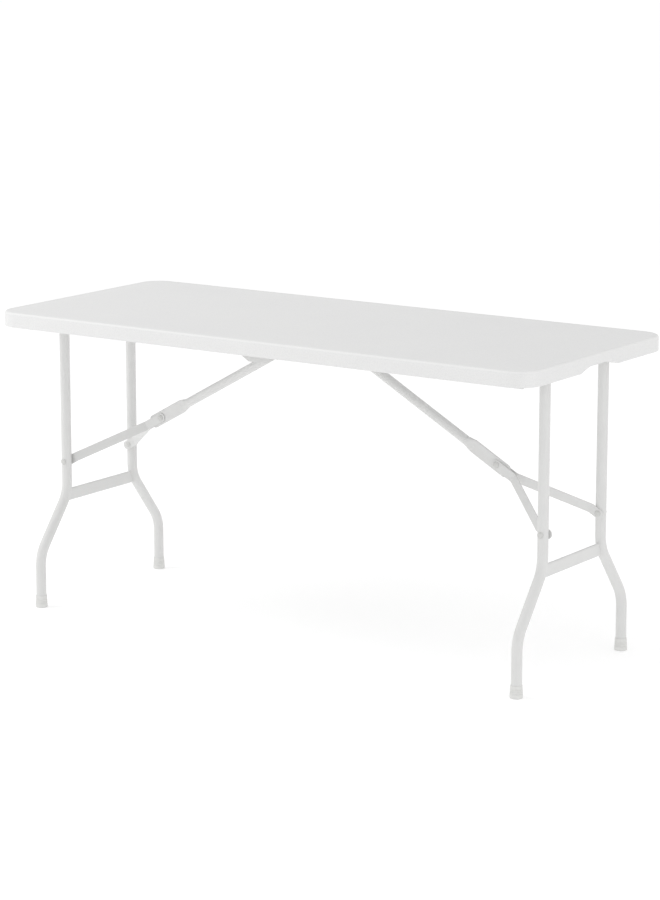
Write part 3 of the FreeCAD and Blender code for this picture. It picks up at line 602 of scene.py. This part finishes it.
def paper_floor():
    material, shader = new_material("white_paper")
    shader.inputs["Base Color"].default_value = hex_colour("#e8e8e8")
    shader.inputs["Roughness"].default_value = 0.95
    shader.inputs["Specular IOR Level"].default_value = 0.0
    shader.inputs["Emission Color"].default_value = hex_colour("#ffffff")
    shader.inputs["Emission Strength"].default_value = FLOOR_GLOW
    place = add_node(material, "ShaderNodeTexCoord")
    fibres = add_node(material, "ShaderNodeTexNoise", {"Vector": place.outputs["Object"]},
                      Scale=1 / FIBRE, Detail=4.0)
    bump = add_node(material, "ShaderNodeBump", {"Height": fibres.outputs[0]},
                    Strength=0.1, Distance=0.2 * MM)
    link(material, bump.outputs["Normal"], shader.inputs["Normal"])
    shape = bmesh.new()
    bmesh.ops.create_grid(shape, x_segments=1, y_segments=1, size=FLOOR_SIZE)
    mesh = bpy.data.meshes.new("floor")
    shape.to_mesh(mesh)
    shape.free()
    floor = bpy.data.objects.new("floor", mesh)
    floor.data.materials.append(material)
    bpy.context.scene.collection.objects.link(floor)


paper_floor()
print("paper laid")

# %% Lights
def bright_dome(horizon, side, zenith):
    """A white world that glows by these amounts just above the horizon, at the side, overhead."""
    world = bpy.data.worlds.new("white_dome")
    bpy.context.scene.world = world
    world.use_nodes = True
    ground = world.node_tree.nodes["Background"]
    ground.inputs["Color"].default_value = (1.0, 1.0, 1.0, 1.0)
    way = add_node(world, "ShaderNodeTexCoord")
    split = add_node(world, "ShaderNodeSeparateXYZ", {0: way.outputs["Generated"]})
    low = add_node(world, "ShaderNodeMapRange", {"Value": split.outputs["Z"]})
    high = add_node(world, "ShaderNodeMapRange", {"Value": split.outputs["Z"]})
    bands = ((low, 0.1, 0.3, horizon, side), (high, 0.3, 0.8, side, zenith))
    for ramp, start, end, first, last in bands:
        ramp.inputs["From Min"].default_value = start
        ramp.inputs["From Max"].default_value = end
        ramp.inputs["To Min"].default_value = first
        ramp.inputs["To Max"].default_value = last
    both = add_node(world, "ShaderNodeMath", {0: low.outputs[0], 1: high.outputs[0]},
                    operation="MAXIMUM")
    link(world, both.outputs[0], ground.inputs["Strength"])


def soft_box(name, place, target, size, power):
    """A square area light turned to face its target, and hidden from the camera."""
    data = bpy.data.lights.new(name, "AREA")
    data.shape = "SQUARE"
    data.size = size
    data.energy = power
    lamp = bpy.data.objects.new(name, data)
    lamp.location = place
    lamp.rotation_euler = (Vector(target) - Vector(place)).to_track_quat("-Z", "Y").to_euler()
    lamp.visible_camera = False
    bpy.context.scene.collection.objects.link(lamp)


bright_dome(1.0, 0.62, 0.98)
soft_box("left_panel", (-3.0, -2.2, 1.1), (-0.7, 0, 0.4), 1.8, 10)
soft_box("right_panel", (2.8, -0.9, 0.9), (0.7, 0, 0.4), 1.6, 5)
soft_box("high_panel", (-2.4, -1.4, 3.6), (0, 0, 0.7), 1.6, 24)
bpy.context.scene.view_settings.view_transform = "Standard"
print("lights set")

# %% [markdown]
# ## Camera
# A long lens looks from above the table top and off to the right of the front. Its direction is
# kept as two axes of the camera, with the third square to both, so it needs no chain of angles.

# %% Camera
def studio_camera():
    data = bpy.data.cameras.new("camera")
    data.lens = 115.53
    data.sensor_width = 36
    data.sensor_fit = "AUTO"
    data.shift_x = 0.0504
    data.shift_y = -0.0354
    data.clip_end = 200
    camera = bpy.data.objects.new("camera", data)
    right = Vector((0.81525, 0.57910, -0.00288)).normalized()
    up = Vector((-0.11056, 0.16052, 0.98082)).normalized()
    back = right.cross(up)
    turn = Matrix((right, up, back)).transposed().to_4x4()
    camera.matrix_world = Matrix.Translation((3.84162, -5.55860, 1.85944)) @ turn
    bpy.context.scene.collection.objects.link(camera)
    bpy.context.scene.camera = camera


studio_camera()
print("camera set")
